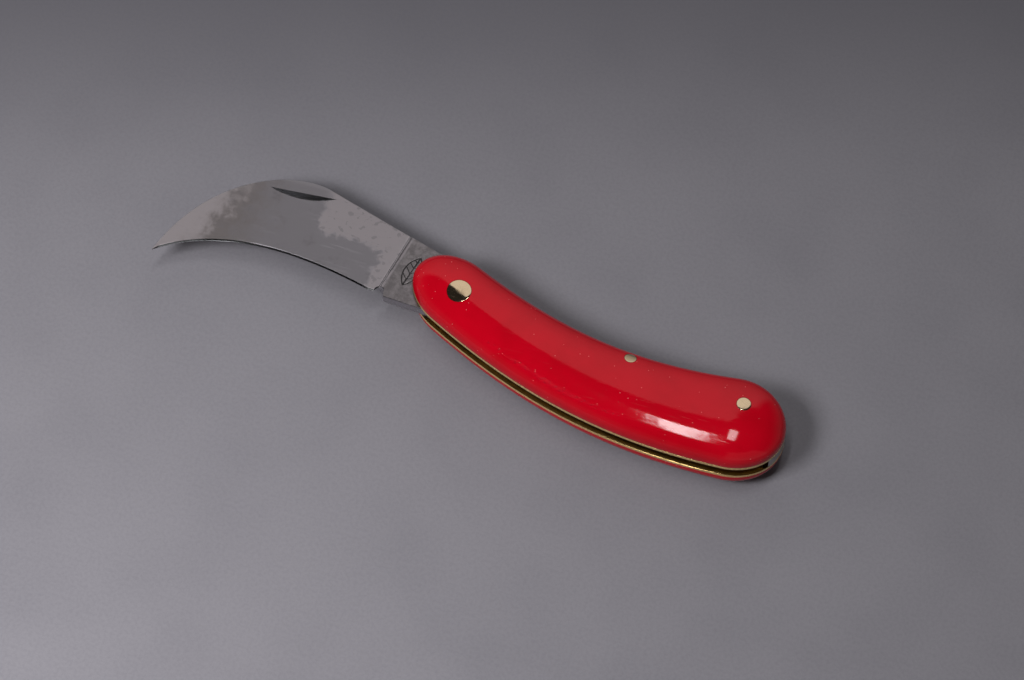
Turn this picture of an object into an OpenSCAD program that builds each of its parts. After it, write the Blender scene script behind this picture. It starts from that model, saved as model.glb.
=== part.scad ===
// Folding hawkbill knife for grafting and pruning, lying open on its rear scale.
// Millimetres. X runs from the blade tip to the butt, +Y is the back of the knife, +Z is up.
// The origin is on the pivot axis, at the height of the surface the knife lies on.

/* [Handle] */
// Length of the handle, from the nose to the butt
grip_len = 103.6; // [100:0.2:108]
// Distance the handle's nose reaches in front of the pivot axis
nose_reach = 13.2; // [12:0.1:14.5]
// Height of the handle's centre line at the nose, above the pivot axis
nose_rise = 7.7; // [7:0.1:8.2]
// Drop of the centre line's first control point, near the pivot
front_drop = 10.4; // [9.5:0.1:11]
// Drop of the centre line's second control point, at the palm swell
palm_drop = 17.0; // [16.5:0.1:18]
// Drop of the centre line at the butt
butt_drop = 9.3; // [8.8:0.1:10]
// Half width of the handle at the nose
nose_half_w = 9.1; // [8.6:0.1:9.4]
// Half width that the waist of the handle is drawn towards
waist_half_w = 10.3; // [9.8:0.1:11]
// Half width of the handle at the butt
butt_half_w = 13.1; // [12.6:0.1:13.8]
// Length over which the nose is rounded
nose_round = 13; // [11:0.5:15]
// Length over which the butt is rounded
butt_round = 14.5; // [13:0.5:17]
// Height of each scale above its liner
dome_h = 6.4; // [5.4:0.1:7.2]
// Fullness of the scale's cross section at the nose, 2 for an ellipse
nose_fullness = 2.2; // [2:0.1:2.6]
// Fullness of the scale's cross section at the butt
butt_fullness = 2.9; // [2.4:0.1:3.2]
// Amount polished off the crown of each scale
crown_flat = 0.12; // [0.08:0.02:0.2]

/* [Stack] */
// Thickness of each brass liner
liner_t = 1.0; // [0.8:0.1:1.2]
// Thickness of the back spring, which sets the gap between the liners
spring_t = 3.1; // [2.8:0.1:3.4]
// Thickness of the blade's tang and spine
blade_t = 3.0; // [2.7:0.1:3.1]

/* [Blade] */
// Reach of the tip in front of the pivot axis
tip_reach = 81.5; // [80:0.1:82]
// Drop of the tip below the pivot axis
tip_drop = 9.2; // [8.6:0.1:10]
// Thickness left at the cutting edge
edge_t = 0.4; // [0.3:0.05:0.6]
// Radius of the arc that the hollow cutting edge follows
edge_arc_r = 72; // [70:1:76]
// Length of the nail nick
nick_len = 18; // [15:0.5:20]

/* [Back spring] */
// Depth of the spring along the back of the handle
spring_depth = 4.6; // [4.2:0.1:5]
// Depth of the spring where it rests on the tang
spring_nose_depth = 3.2; // [3:0.1:3.5]
// Depth of the tail that wraps round the butt
tail_depth = 2.6; // [2.2:0.1:3]
// Distance from the pivot axis to the flats that the spring rests on
tang_flat = 6.3; // [6:0.1:6.5]

/* [Rivets] */
// Diameter of the pivot rivet's shank
pivot_d = 4.4; // [4:0.1:4.8]
// Diameter of the pivot rivet's flush head and of its burr
pivot_head_d = 6.2; // [5.8:0.1:6.6]
// Diameter of the middle rivet
middle_d = 3.0; // [2.8:0.1:3.1]
// Diameter of the butt rivet
end_d = 3.6; // [3.2:0.1:4]

/* [Hidden] */
$fn = 64;

// Colours of the sub-parts
red_plastic = [0.72, 0.02, 0.08];
brass_yellow = [0.80, 0.65, 0.38];
spring_grey = [0.42, 0.42, 0.43];
blade_grey = [0.58, 0.58, 0.60];

// Heights in the stack, from the surface up
stack_t = spring_t + 2 * liner_t;
crown_h = dome_h - crown_flat;
mid_z = crown_h + stack_t / 2;
total_t = stack_t + 2 * crown_h;

// Fits
rivet_gap = 0.02;
running_gap = 0.05;
spring_gap = 0.05;

// Rivet places
middle_at = [47.4, -4.1];
end_at = [78.6, -8.0];

// Handle outline
stations = 44;
ring_steps = 14;
control_share = [0.341, 0.611];
grip_path = [
    [-nose_reach, nose_rise],
    [control_share[0] * grip_len - nose_reach, -front_drop],
    [control_share[1] * grip_len - nose_reach, -palm_drop],
    [grip_len - nose_reach, -butt_drop]];

// Point and direction on a cubic Bezier curve, at t from 0 to 1
function curve_at(p, t) = pow(1 - t, 3) * p[0] + 3 * pow(1 - t, 2) * t * p[1]
    + 3 * (1 - t) * t * t * p[2] + pow(t, 3) * p[3];
function slope_at(p, t) = pow(1 - t, 2) * (p[1] - p[0]) + 2 * (1 - t) * t * (p[2] - p[1])
    + t * t * (p[3] - p[2]);
function curve(p, steps) = [for (i = [0:steps]) curve_at(p, i / steps)];
function left_of(v) = [-v[1], v[0]] / norm(v);

// Stations along the handle, closer together at both ends
station_t = [for (i = [0:stations]) (1 - cos(180 * i / stations)) / 2];
spine_pts = [for (t = station_t) curve_at(grip_path, t)];
spine_left = [for (t = station_t) left_of(slope_at(grip_path, t))];
spine_run = [for (i = 0, run = 0; i <= stations;
    run = run + (i < stations ? norm(spine_pts[i + 1] - spine_pts[i]) : 0), i = i + 1) run];
run_len = spine_run[stations];

// Rounding of one end, 0 at the end and 1 past its length
function end_round(run, len) = run >= len ? 1 : run <= 0 ? 0 : sqrt(1 - pow(1 - run / len, 2));
function both_ends(run, inset) = end_round(run - inset, nose_round - inset)
    * end_round(run_len - inset - run, butt_round - inset);
function swell(k) = pow(1 - k, 2) * nose_half_w + 2 * (1 - k) * k * waist_half_w + k * k * butt_half_w;
function half_w(i, inset = 0) = (swell(spine_run[i] / run_len) - inset) * both_ends(spine_run[i], inset);
function edge_pt(i, side, inset = 0) = spine_pts[i] + side * half_w(i, inset) * spine_left[i];

grip_outline = concat(
    [for (i = [0:stations]) edge_pt(i, 1)],
    [for (i = [stations - 1:-1:1]) edge_pt(i, -1)]);

// Direction of the spring's seat on the tang, and the angle the blade folds through
seat_angle = 68;
seat_up = [cos(seat_angle), sin(seat_angle)];
seat_along = [sin(seat_angle), -cos(seat_angle)];
fold_angle = 160;

// Shoulder of the blade in front of the spring's nose, along the seat and up from it
shoulder_run = -3.9;
shoulder_rise = 9.5;

// Block of the given size that covers everything past a line at the given distance
module beyond(angle, distance, size = 40) {
    rotate([0, 0, angle])
        translate([distance, -size / 2])
            square([size, size]);
}

module plate(bottom, thickness) {
    translate([0, 0, bottom])
        linear_extrude(height = thickness)
            children();
}

// Round bar along Z, centred at a point in plan
module bar(at, d, bottom, length) {
    translate([at[0], at[1], bottom])
        cylinder(h = length, d = d);
}

// ---- Scales ----

// Half of a domed cross section, as [share of the half width, share of the height]
function fullness(i) = nose_fullness + (butt_fullness - nose_fullness) * spine_run[i] / run_len;
function dome_side(a, i) = sign(sin(a)) * pow(abs(sin(a)), 2 / fullness(i));
function dome_top(a, i) = pow(abs(cos(a)), 2 / fullness(i));
function ring_angle(j) = -90 + 180 * j / ring_steps;
function dome_pt(i, j, skirt) = let (
        a = ring_angle(j),
        p = spine_pts[i] + dome_side(a, i) * half_w(i) * spine_left[i],
        z = j == 0 || j == ring_steps ? -skirt : dome_h * both_ends(spine_run[i], 0) * dome_top(a, i))
    [p[0], p[1], min(z, crown_h)];
function ring_id(i, j) = 1 + (i - 1) * (ring_steps + 1) + j;
butt_id = 1 + (stations - 1) * (ring_steps + 1);

// Domed solid over the handle's outline, with its base the given distance below z = 0
module dome(skirt = 0) {
    pts = concat(
        [[spine_pts[0][0], spine_pts[0][1], -skirt]],
        [for (i = [1:stations - 1], j = [0:ring_steps]) dome_pt(i, j, skirt)],
        [[spine_pts[stations][0], spine_pts[stations][1], -skirt]]);
    nose_fan = [for (j = [0:ring_steps - 1]) [0, ring_id(1, j), ring_id(1, j + 1)]];
    butt_fan = [for (j = [0:ring_steps - 1])
        [butt_id, ring_id(stations - 1, j + 1), ring_id(stations - 1, j)]];
    skin_a = [for (i = [1:stations - 2], j = [0:ring_steps - 1])
        [ring_id(i, j), ring_id(i + 1, j), ring_id(i + 1, j + 1)]];
    skin_b = [for (i = [1:stations - 2], j = [0:ring_steps - 1])
        [ring_id(i, j), ring_id(i + 1, j + 1), ring_id(i, j + 1)]];
    base = [for (i = [1:stations - 2])
        [ring_id(i, 0), ring_id(i, ring_steps), ring_id(i + 1, ring_steps), ring_id(i + 1, 0)]];
    base_ends = [
        [0, ring_id(1, ring_steps), ring_id(1, 0)],
        [butt_id, ring_id(stations - 1, 0), ring_id(stations - 1, ring_steps)]];
    polyhedron(points = pts, faces = concat(nose_fan, butt_fan, skin_a, skin_b, base, base_ends),
        convexity = 4);
}

module front_dome(skirt = 0) {
    translate([0, 0, mid_z + stack_t / 2])
        dome(skirt);
}

module rear_dome(skirt = 0) {
    translate([0, 0, mid_z - stack_t / 2])
        mirror([0, 0, 1])
            dome(skirt);
}

// The three rivet holes through a scale or a liner
module rivet_holes(pivot_hole_d) {
    bar([0, 0], pivot_hole_d + 2 * rivet_gap, -1, total_t + 2);
    bar(middle_at, middle_d + 2 * rivet_gap, -1, total_t + 2);
    bar(end_at, end_d + 2 * rivet_gap, -1, total_t + 2);
}

module front_scale() {
    color(red_plastic)
        difference() {
            front_dome();
            rivet_holes(pivot_head_d);
        }
}

module rear_scale() {
    color(red_plastic)
        difference() {
            rear_dome();
            rivet_holes(pivot_head_d);
        }
}

// ---- Liners ----

module liner(bottom) {
    color(brass_yellow)
        difference() {
            plate(bottom, liner_t) polygon(grip_outline);
            rivet_holes(pivot_d);
        }
}

module front_liner() {
    liner(mid_z + spring_t / 2);
}

module rear_liner() {
    liner(mid_z - stack_t / 2);
}

// ---- Back spring ----

// Depth of the spring at a station, thinner at its nose
nose_taper = 30;
function spring_depth_at(i) = let (k = min(1, max(0, spine_pts[i][0] / nose_taper)))
    spring_nose_depth + (spring_depth - spring_nose_depth) * k;

// Well between the liners that the blade folds into, up to the tail round the butt
module blade_well() {
    reach = 30;
    mouth_over = 5;
    nose_from = 6;
    tail_from = stations - 10;
    tail_end = stations - 5;
    butt_last = max([for (i = [0:stations]) spine_run[i] < run_len - tail_depth ? i : 0]);
    polygon(concat(
        [for (i = [nose_from:tail_from]) edge_pt(i, 1, spring_depth_at(i))],
        [for (i = [tail_from + 1:butt_last]) edge_pt(i, 1, tail_depth)],
        [for (i = [butt_last:-1:tail_end]) edge_pt(i, -1, tail_depth)],
        [edge_pt(tail_end + 1, -1, -mouth_over)],
        [[-nose_reach, -reach]]));
}

module back_spring() {
    butt_block_r = 5.4;
    color(spring_grey)
        difference() {
            plate(mid_z - spring_t / 2, spring_t)
                difference() {
                    polygon(grip_outline);
                    difference() {
                        blade_well();
                        translate(end_at) circle(r = butt_block_r);
                    }
                    // Seat on the tang, and the room in front of the blade's shoulder
                    beyond(seat_angle + 180, -tang_flat - running_gap / 2);
                    beyond(seat_angle + 90, -shoulder_run - spring_gap);
                }
            rivet_holes(pivot_d);
        }
}

// ---- Blade ----

// Corners of the outline, in plan from the pivot axis
spine_bend = [-42, 21.6];
tip_at = [-tip_reach, -tip_drop];
heel_at = [-24.4, -2.5];
notch_side = [-22.6, -2.5];
tang_corner = [-19.6, -3.9];
under_tang = [[-9.5, -4.2], [-3, -5.5]];

// Control points that bow the back and the cutting edge
spine_pull = [[-53, 25.4], [-75.2, 16.6]];
edge_pull = [[-66.5, 3.2], [-45, 2.2]];
spine_curve = curve([spine_bend, spine_pull[0], spine_pull[1], tip_at], 20);
edge_curve = curve([tip_at, edge_pull[0], edge_pull[1], heel_at], 16);

// Sharpening notch between the cutting edge and the tang
notch_at = [-21.3, -2.6];
notch_r = 1.4;

// Grind, from the groove beside the tang to the tip
edge_arc_at = [-45.1, -71.6];
grind_start = [[-17.9, 13.4], [-19.6, 6.6], [-20.9, -1]];
grind_width = 21;
groove_w = 0.5;
groove_depth = 0.25;

// Nail nick
nick_at = [-49.8, 18.8];
nick_turn = 5.7;
nick_sink = 0.12;

// Round of the tang, with the open and the folded flat that the spring rests on
module tang_round() {
    tang_r = 7.2;
    difference() {
        circle(r = tang_r);
        beyond(seat_angle, tang_flat);
        beyond(seat_angle - fold_angle, tang_flat);
    }
}

module blade_outline() {
    shoulder_low = seat_up * (tang_flat - 1) + seat_along * shoulder_run;
    shoulder_top = seat_up * shoulder_rise + seat_along * shoulder_run;
    difference() {
        union() {
            polygon(concat(
                [[0, 0], shoulder_low, shoulder_top],
                spine_curve,
                edge_curve,
                [notch_side, tang_corner],
                under_tang));
            tang_round();
        }
        translate(notch_at) circle(r = notch_r);
    }
}

// Area that is ground thin, from the groove to the tip
module ground_area() {
    field_end = -95;
    field_top = 30;
    field_foot = -20;
    polygon(concat(
        [[field_end, field_top], [grind_start[0][0] + 0.9, field_top]],
        grind_start,
        [[grind_start[2][0] - 0.3, field_foot], [field_end, field_foot]]));
}

module groove_area() {
    intersection() {
        ground_area();
        translate([groove_w, 0]) difference() {
            translate([-groove_w, 0]) ground_area();
            translate([-2 * groove_w, 0]) ground_area();
        }
    }
}

// Ring that is taken off the front face to leave a cone from the edge up to the spine
module grind_ring() {
    inner_r = edge_arc_r - 8;
    inner_t = 0.02;
    outer_r = edge_arc_r + grind_width;
    translate([edge_arc_at[0], edge_arc_at[1], 0])
        rotate_extrude($fn = 180)
            polygon([[inner_r, inner_t], [edge_arc_r, edge_t / 2], [outer_r, blade_t / 2],
                [outer_r, blade_t], [inner_r, blade_t]]);
}

// Cut of a tilted wheel, with a steep wall on the side of the spine
module nail_nick() {
    sag = 1.0;
    tilt = 28;
    wheel_r = (pow(nick_len / 2, 2) + sag * sag) / (2 * sag);
    translate([nick_at[0], nick_at[1], blade_t / 2 - nick_sink])
        rotate([0, 0, nick_turn])
            rotate([90 - tilt, 0, 0])
                translate([0, wheel_r - sag, 0])
                    cylinder(h = 8, r = wheel_r, $fn = 128);
}

module blade_body() {
    difference() {
        plate(-blade_t / 2, blade_t) blade_outline();
        for (face = [0, 1])
            mirror([0, 0, face]) {
                intersection() {
                    plate(0, blade_t) ground_area();
                    grind_ring();
                }
                plate(blade_t / 2 - groove_depth, 1) groove_area();
            }
        nail_nick();
        bar([0, 0], pivot_d + 2 * running_gap, -blade_t, 2 * blade_t);
    }
}

module blade() {
    color(blade_grey)
        translate([0, 0, mid_z])
            blade_body();
}

// ---- Rivets, ground flush with the scales ----

// Cuts its children off flush with the crown of both scales
module flush_with_scales() {
    intersection() {
        children();
        front_dome(total_t);
        rear_dome(total_t);
    }
}

module pivot_rivet() {
    color(brass_yellow)
        flush_with_scales()
            union() {
                bar([0, 0], pivot_d, -1, total_t + 2);
                bar([0, 0], pivot_head_d, mid_z + stack_t / 2 + rivet_gap, total_t);
            }
}

module pivot_burr() {
    color(brass_yellow)
        intersection() {
            difference() {
                bar([0, 0], pivot_head_d, -1, total_t);
                bar([0, 0], pivot_d + 2 * rivet_gap, -2, total_t + 2);
            }
            rear_dome();
        }
}

module middle_rivet() {
    color(brass_yellow)
        flush_with_scales()
            bar(middle_at, middle_d, -1, total_t + 2);
}

module end_rivet() {
    color(brass_yellow)
        flush_with_scales()
            bar(end_at, end_d, -1, total_t + 2);
}

blade();
back_spring();
front_liner();
rear_liner();
front_scale();
rear_scale();
pivot_rivet();
pivot_burr();
middle_rivet();
end_rivet();
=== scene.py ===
# Folding hawkbill knife, lying open on its rear scale. Shapes are worked out in millimetres
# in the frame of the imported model, and each finished piece is scaled to metres at the end.
import math
import bmesh
import bpy
import numpy as np
from mathutils import Matrix, Vector
from mathutils.bvhtree import BVHTree


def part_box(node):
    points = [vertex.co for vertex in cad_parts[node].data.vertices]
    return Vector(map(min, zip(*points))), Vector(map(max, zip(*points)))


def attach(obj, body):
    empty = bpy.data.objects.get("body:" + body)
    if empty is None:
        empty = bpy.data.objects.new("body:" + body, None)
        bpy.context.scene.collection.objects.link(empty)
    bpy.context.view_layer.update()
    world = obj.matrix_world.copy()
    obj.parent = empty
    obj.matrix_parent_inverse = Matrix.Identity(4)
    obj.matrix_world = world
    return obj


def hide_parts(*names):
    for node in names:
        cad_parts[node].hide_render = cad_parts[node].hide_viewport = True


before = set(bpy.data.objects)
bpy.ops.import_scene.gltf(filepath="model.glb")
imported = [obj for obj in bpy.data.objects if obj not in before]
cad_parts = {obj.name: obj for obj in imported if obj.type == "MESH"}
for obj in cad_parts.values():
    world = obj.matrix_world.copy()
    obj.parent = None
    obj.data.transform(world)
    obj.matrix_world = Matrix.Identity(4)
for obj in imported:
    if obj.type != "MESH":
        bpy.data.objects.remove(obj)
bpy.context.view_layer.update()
mm = 0.001
# Vertices nearer than this are taken as being in one place, and cutters reach this far past a part
touching = 1e-3
overshoot = 1.0


# Sizes read from the frame

def boxInMm(node):
    low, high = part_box(node)
    return low / mm, high / mm


frontLinerLow, frontLinerHigh = boxInMm("front_liner")
rearLinerLow, rearLinerHigh = boxInMm("rear_liner")
crownTop = boxInMm("front_scale")[1].z
bladeLow, bladeHigh = boxInMm("blade")
midHeight = (bladeLow.z + bladeHigh.z) / 2
halfBlade = (bladeHigh.z - bladeLow.z) / 2
crownHeight = crownTop - frontLinerHigh.z


def rivetFromFrame(node):
    low, high = boxInMm(node)
    return Vector(((low.x + high.x) / 2, (low.y + high.y) / 2)), (high.x - low.x) / 2


pivotAt, pivotHeadRadius = rivetFromFrame("pivot_rivet")
middleAt, middleRadius = rivetFromFrame("middle_rivet")
endAt, endRadius = rivetFromFrame("end_rivet")
pivotShankRadius = 2.2
rivetsAtSkin = ((pivotAt, pivotHeadRadius), (middleAt, middleRadius), (endAt, endRadius))
rivetsInside = ((pivotAt, pivotShankRadius), (middleAt, middleRadius), (endAt, endRadius))


# Shape of the handle

handle = {
    "path": [(-13.2, 7.7), (22.13, -10.4), (50.1, -17.0), (90.4, -9.3)],
    "noseHalfWidth": 9.1,
    "waistHalfWidth": 10.3,
    "buttHalfWidth": 13.1,
    "noseRound": 13.0,
    "buttRound": 14.5,
    "noseFullness": 2.2,
    "buttFullness": 2.9,
}


def bezierPoint(points, t):
    p = [np.array(q, float) for q in points]
    s = 1 - t
    return s ** 3 * p[0] + 3 * s * s * t * p[1] + 3 * s * t * t * p[2] + t ** 3 * p[3]


def bezierSlope(points, t):
    p = [np.array(q, float) for q in points]
    s = 1 - t
    return s * s * (p[1] - p[0]) + 2 * s * t * (p[2] - p[1]) + t * t * (p[3] - p[2])


pathShares = np.linspace(0, 1, 1201)
pathPoints = np.array([bezierPoint(handle["path"], t) for t in pathShares])
pathRuns = np.concatenate([[0], np.cumsum(np.linalg.norm(np.diff(pathPoints, axis=0), axis=1))])
pathLength = pathRuns[-1]


def endRound(run, length):
    if run <= 0:
        return 0.0
    if run >= length:
        return 1.0
    return math.sqrt(1 - (1 - run / length) ** 2)


def bothEnds(run):
    return endRound(run, handle["noseRound"]) * endRound(pathLength - run, handle["buttRound"])


def halfWidth(run):
    k = run / pathLength
    swell = ((1 - k) ** 2 * handle["noseHalfWidth"] + 2 * (1 - k) * k * handle["waistHalfWidth"]
             + k * k * handle["buttHalfWidth"])
    return swell * bothEnds(run)


# Point in plan beside the centre line, at a share of its length
def besidePath(share, side):
    run = float(np.interp(share, pathShares, pathRuns))
    point = bezierPoint(handle["path"], share)
    slope = bezierSlope(handle["path"], share)
    left = np.array([-slope[1], slope[0]]) / np.linalg.norm(slope)
    return point + side * halfWidth(run) * left


# Shares of the path that crowd towards both ends, where the outline turns fast
def crowded(k):
    return (1 - math.cos(math.pi * k)) / 2


# Working with meshes

def makePiece(name, bm, body, replaced=(), sharpAngle=32):
    bmesh.ops.scale(bm, vec=(mm, mm, mm), verts=bm.verts)
    mesh = bpy.data.meshes.new(name)
    bm.to_mesh(mesh)
    bm.free()
    mesh.shade_smooth()
    mesh.set_sharp_from_angle(angle=math.radians(sharpAngle))
    piece = bpy.data.objects.new(name, mesh)
    bpy.context.scene.collection.objects.link(piece)
    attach(piece, body)
    if replaced:
        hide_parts(*replaced)
    return piece


def boundaryLoop(bm):
    return [e for e in bm.edges if e.is_boundary]


# Cuts one bmesh with another and returns the result
def cutAway(bm, cutter):
    objects = []
    for source in (bm, cutter):
        mesh = bpy.data.meshes.new("work")
        source.to_mesh(mesh)
        source.free()
        work = bpy.data.objects.new("work", mesh)
        bpy.context.scene.collection.objects.link(work)
        objects.append(work)
    cut = objects[0].modifiers.new("Cut", "BOOLEAN")
    cut.operation = "DIFFERENCE"
    cut.solver = "EXACT"
    cut.object = objects[1]
    graph = bpy.context.evaluated_depsgraph_get()
    result = bmesh.new()
    result.from_mesh(bpy.data.meshes.new_from_object(objects[0].evaluated_get(graph)))
    for work in objects:
        mesh = work.data
        bpy.data.objects.remove(work)
        bpy.data.meshes.remove(mesh)
    return result


def roundBar(at, radius, bottom, top, segments=96):
    bar = bmesh.new()
    bmesh.ops.create_cone(bar, cap_ends=True, segments=segments, radius1=radius, radius2=radius,
                          depth=top - bottom)
    bmesh.ops.translate(bar, vec=(at.x, at.y, (bottom + top) / 2), verts=bar.verts)
    return bar


# Scales

scaleLook = {
    "stationsAlong": 260,
    "stepsAcross": 84,
    "rimBevel": 0.10,
    "holeGap": 0.03,
}


# The closed dome of one scale. The way is +1 for the front scale and -1 for the rear.
def domeMesh(seat, way, rimBevel):
    bm = bmesh.new()
    bmesh.ops.create_grid(bm, x_segments=scaleLook["stationsAlong"],
                          y_segments=scaleLook["stepsAcross"], size=1)
    for v in bm.verts:
        share = crowded((v.co.x + 1) / 2)
        angle = v.co.y * math.pi / 2
        run = float(np.interp(share, pathShares, pathRuns))
        full = handle["noseFullness"] + (handle["buttFullness"] - handle["noseFullness"]) * run / pathLength
        across = math.copysign(abs(math.sin(angle)) ** (2 / full), angle)
        rise = max(0.0, math.cos(angle)) ** (2 / full)
        # The outermost rows lie on the seat
        if abs(v.co.y) > 1 - touching / 10:
            rise = 0.0
        v.co = (*besidePath(share, across), seat + way * crownHeight * bothEnds(run) * rise)
    bmesh.ops.remove_doubles(bm, verts=bm.verts, dist=touching / 10)
    bmesh.ops.holes_fill(bm, edges=boundaryLoop(bm), sides=0)
    bmesh.ops.recalc_face_normals(bm, faces=bm.faces)
    if rimBevel:
        rim = [e for e in bm.edges if e.calc_face_angle(0) > math.radians(50)
               and all(abs(v.co.z - seat) < touching for v in e.verts)]
        bmesh.ops.bevel(bm, geom=rim, offset=rimBevel, offset_type="OFFSET", segments=2, profile=0.5,
                        affect="EDGES", material=-1)
    return bm


# Cutter for the hole of a rivet, through the whole stack
def holeBar(at, radius):
    return roundBar(at, radius + scaleLook["holeGap"], -2 * overshoot, crownTop + 2 * overshoot)


def makeScale(name, seat, way, node):
    bm = domeMesh(seat, way, scaleLook["rimBevel"])
    for at, radius in rivetsAtSkin:
        bm = cutAway(bm, holeBar(at, radius))
    return makePiece(name, bm, "handle", [node])


frontScale = makeScale("frontScale", frontLinerHigh.z, 1, "front_scale")
rearScale = makeScale("rearScale", rearLinerLow.z, -1, "rear_scale")
print("scales made")


# Liners

linerLook = {"pointsAround": 520, "edgeBevel": 0.09}


def makeLiner(name, low, high, node):
    bm = bmesh.new()
    bmesh.ops.create_circle(bm, cap_ends=True, segments=linerLook["pointsAround"], radius=1)
    for v in bm.verts:
        turn = math.atan2(v.co.y, v.co.x)
        side = 1 if turn >= 0 else -1
        v.co = (*besidePath(crowded(1 - abs(turn) / math.pi), side), low)
    grown = bmesh.ops.extrude_face_region(bm, geom=bm.faces[:])
    top = [g for g in grown["geom"] if isinstance(g, bmesh.types.BMVert)]
    bmesh.ops.translate(bm, vec=(0, 0, high - low), verts=top)
    bmesh.ops.recalc_face_normals(bm, faces=bm.faces)
    rim = [e for e in bm.edges if e.calc_face_angle(0) > math.radians(60)]
    bmesh.ops.bevel(bm, geom=rim, offset=linerLook["edgeBevel"], offset_type="OFFSET", segments=2,
                    profile=0.5, affect="EDGES", material=-1)
    for at, radius in rivetsInside:
        bm = cutAway(bm, holeBar(at, radius))
    return makePiece(name, bm, "handle", [node])


frontLiner = makeLiner("frontLiner", frontLinerLow.z, frontLinerHigh.z, "front_liner")
rearLiner = makeLiner("rearLiner", rearLinerLow.z, rearLinerHigh.z, "rear_liner")
print("liners made")


# Rivets, with their ends on the surface of the scales

rivetLook = {
    "capRings": 5,
    "rimWidth": 0.04,
    "rimSoftening": 0.008,
    "facets": 72,
    "pivotFacets": 96,
    "headGap": 0.03,
    "burrGap": 0.02,
    "shankRings": 3,
    "sharpAngle": 40,
}
rayReach = 40
frontTree = BVHTree.FromBMesh(domeMesh(frontLinerHigh.z, 1, 0))
rearTree = BVHTree.FromBMesh(domeMesh(rearLinerLow.z, -1, 0))


# Height of a scale's surface over a point in plan
def skinHeight(tree, x, y, way):
    hit = tree.ray_cast(Vector((x, y, midHeight + way * rayReach)), Vector((0, 0, -way)))
    return hit[0].z


# Closes a bar's end with rings that follow the scale's surface
def domeTheEnd(bm, tree, way, radius):
    cap = max(bm.faces, key=lambda f: way * f.calc_center_median().z)
    for ring in range(rivetLook["capRings"]):
        step = rivetLook["rimWidth"] if ring == 0 else radius / (rivetLook["capRings"] + 0.5)
        bmesh.ops.inset_region(bm, faces=[cap], thickness=step, use_even_offset=True)
    top = way * max(way * v.co.z for v in bm.verts)
    centre = planCentre(bm)
    for v in [v for v in bm.verts if abs(v.co.z - top) < touching]:
        atRim = (v.co.xy - centre).length > radius - touching
        v.co.z = skinHeight(tree, v.co.x, v.co.y, way) - way * (rivetLook["rimSoftening"] if atRim else 0.0)


def planCentre(bm):
    xs = [v.co.x for v in bm.verts]
    ys = [v.co.y for v in bm.verts]
    return Vector(((min(xs) + max(xs)) / 2, (min(ys) + max(ys)) / 2))


def makePlainRivet(name, at, radius, node):
    bm = roundBar(at, radius, -overshoot, crownTop + overshoot, rivetLook["facets"])
    domeTheEnd(bm, frontTree, 1, radius)
    domeTheEnd(bm, rearTree, -1, radius)
    return makePiece(name, bm, "handle", [node], rivetLook["sharpAngle"])


middleRivet = makePlainRivet("middleRivet", middleAt, middleRadius, "middle_rivet")
endRivet = makePlainRivet("endRivet", endAt, endRadius, "end_rivet")


def makePivotRivet():
    under = frontLinerHigh.z + rivetLook["headGap"]
    bm = roundBar(pivotAt, pivotHeadRadius, under, crownTop + overshoot, rivetLook["pivotFacets"])
    domeTheEnd(bm, frontTree, 1, pivotHeadRadius)
    # The shank grows from the middle of the head's underside
    root = min(bm.faces, key=lambda f: f.calc_center_median().z)
    shoulder = pivotHeadRadius - pivotShankRadius
    bmesh.ops.inset_region(bm, faces=[root], thickness=shoulder, use_even_offset=True)
    shank = bmesh.ops.extrude_face_region(bm, geom=[root])
    shankEnd = [g for g in shank["geom"] if isinstance(g, bmesh.types.BMFace)]
    bmesh.ops.delete(bm, geom=[root], context="FACES")
    shankVerts = list({v for f in shankEnd for v in f.verts})
    bmesh.ops.translate(bm, vec=(0, 0, -frontLinerHigh.z - overshoot), verts=shankVerts)
    bmesh.ops.recalc_face_normals(bm, faces=bm.faces)
    lowest = min(bm.faces, key=lambda f: f.calc_center_median().z)
    step = pivotShankRadius / (rivetLook["shankRings"] + 2)
    for ring in range(rivetLook["shankRings"]):
        bmesh.ops.inset_region(bm, faces=[lowest], thickness=step, use_even_offset=True)
    for v in bm.verts:
        if v.co.z < 0:
            v.co.z = skinHeight(rearTree, v.co.x, v.co.y, -1)
    return makePiece("pivotRivet", bm, "handle", ["pivot_rivet"], rivetLook["sharpAngle"])


pivotRivet = makePivotRivet()


def makePivotBurr():
    seat = rearLinerLow.z - rivetLook["burrGap"] / 2
    bm = roundBar(pivotAt, pivotHeadRadius, -overshoot, seat, rivetLook["pivotFacets"])
    bottom = min(bm.faces, key=lambda f: f.calc_center_median().z)
    top = max(bm.faces, key=lambda f: f.calc_center_median().z)
    wall = pivotHeadRadius - pivotShankRadius - rivetLook["burrGap"]
    rim = rivetLook["rimWidth"]
    for step in (rim, (wall - rim) / 2, (wall - rim) / 2):
        bmesh.ops.inset_region(bm, faces=[bottom], thickness=step, use_even_offset=True)
    bmesh.ops.inset_region(bm, faces=[top], thickness=wall, use_even_offset=True)
    hole = list(bottom.edges) + list(top.edges)
    bmesh.ops.delete(bm, geom=[bottom, top], context="FACES_ONLY")
    bmesh.ops.bridge_loops(bm, edges=hole)
    for v in bm.verts:
        if v.co.z < -overshoot / 2:
            atRim = (v.co.xy - pivotAt).length > pivotHeadRadius - touching
            v.co.z = skinHeight(rearTree, v.co.x, v.co.y, -1) + (rivetLook["rimSoftening"] if atRim else 0)
    bmesh.ops.recalc_face_normals(bm, faces=bm.faces)
    return makePiece("pivotBurr", bm, "handle", ["pivot_burr"], rivetLook["sharpAngle"])


pivotBurr = makePivotBurr()
print("rivets made")


# Back spring, taken over from its CAD node

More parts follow.
